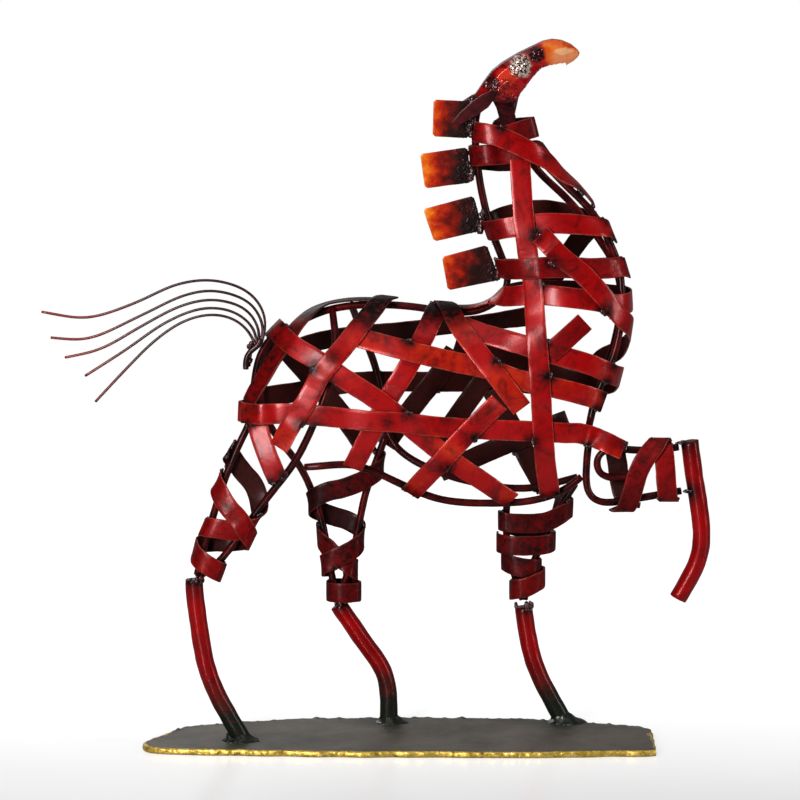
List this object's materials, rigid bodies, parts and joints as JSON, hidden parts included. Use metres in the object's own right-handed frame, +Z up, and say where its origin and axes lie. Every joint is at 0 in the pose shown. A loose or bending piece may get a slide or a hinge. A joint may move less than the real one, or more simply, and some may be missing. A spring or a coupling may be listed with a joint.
{
  "type": "prancing horse sculpture",
  "caption": "Prancing horse of bent rod, woven flat strap and cut plate, welded and lacquered dark red, with a tail of wires, on a flat ragged base plate.",
  "frame": {"origin": "on the underside of the base plate, below the horse's mid-plane, halfway along the plate", "axes": "+X the way the horse faces, +Y to the horse's left, +Z up"},
  "size_m": [0.3558, 0.095, 0.3772],
  "materials": {
    "red_lacquer": "glossy translucent red lacquer over bare steel, nearly black at welds and tops",
    "dark_red_lacquer": "glossy dark brown-red lacquer",
    "dark_lacquer": "glossy near-black red lacquer",
    "head_lacquer": "glossy red lacquer turning orange at the muzzle, over a rough melted surface",
    "heat_coloured_plate": "glossy lacquer shading from orange-yellow through red to black",
    "bare_wire": "drawn steel wire with a thin red-brown lacquer",
    "base_plate_finish": "satin dark grey-green with a ragged brass-yellow edge"
  },
  "bodies": {
    "root": {"base_plate": "base_plate_finish", "hind_shin_right": "red_lacquer", "hind_shin_left": "red_lacquer", "fore_shin_left": "red_lacquer", "fore_shin_right": "red_lacquer", "spine_and_neck_rod": "dark_lacquer", "throat_rod_right": "dark_lacquer", "throat_rod_left": "dark_lacquer", "belly_rod_right": "dark_lacquer", "belly_rod_left": "dark_lacquer", "hind_rods_right": "dark_lacquer", "hind_rods_left": "dark_lacquer", "fore_rods_left": "dark_lacquer", "foreleg_rod_right": "dark_lacquer", "foreleg_top_rod_right": "dark_lacquer", "inner_flank_strap": "red_lacquer", "rump_edge_strap": "red_lacquer", "chest_strap": "red_lacquer", "hip_strap": "red_lacquer", "withers_strap": "red_lacquer", "upper_neck_ring": "red_lacquer", "throat_ring": "red_lacquer", "poll_collar": "red_lacquer", "upper_flank_strap_left": "dark_red_lacquer", "belly_strap_left": "dark_red_lacquer", "front_flank_strap_left": "dark_red_lacquer", "foreleg_strap_left": "dark_red_lacquer", "long_rump_diagonal_left": "dark_red_lacquer", "flank_diagonal_right": "red_lacquer", "mid_flank_strap": "red_lacquer", "shoulder_brace": "red_lacquer", "mid_flank_strap_left": "dark_red_lacquer", "neck_diagonal_left": "dark_red_lacquer", "back_to_girth_strap": "red_lacquer", "girth_strap": "red_lacquer", "rump_diagonal_right": "red_lacquer", "belly_diagonal_right": "red_lacquer", "shoulder_strap": "red_lacquer", "lower_neck_ring": "red_lacquer", "throat_strap": "red_lacquer", "neck_diagonal_right": "red_lacquer", "hind_wrap_right": "red_lacquer", "hind_cross_strap_right": "red_lacquer", "hind_wrap_left": "dark_red_lacquer", "hind_cross_strap_left": "dark_red_lacquer", "hock_ring_left": "dark_red_lacquer", "fore_wrap_left": "dark_red_lacquer", "knee_strap_left": "dark_red_lacquer", "knee_collar_left": "dark_red_lacquer", "foreleg_strap_rear_right": "red_lacquer", "foreleg_strap_middle_right": "red_lacquer", "foreleg_strap_front_right": "red_lacquer", "mane_plate_1": "heat_coloured_plate", "mane_plate_2": "heat_coloured_plate", "mane_plate_3": "heat_coloured_plate", "mane_plate_4": "heat_coloured_plate", "head": "head_lacquer", "ear_right": "dark_lacquer", "ear_left": "dark_lacquer", "tail": "bare_wire"}
  },
  "joints": []
}
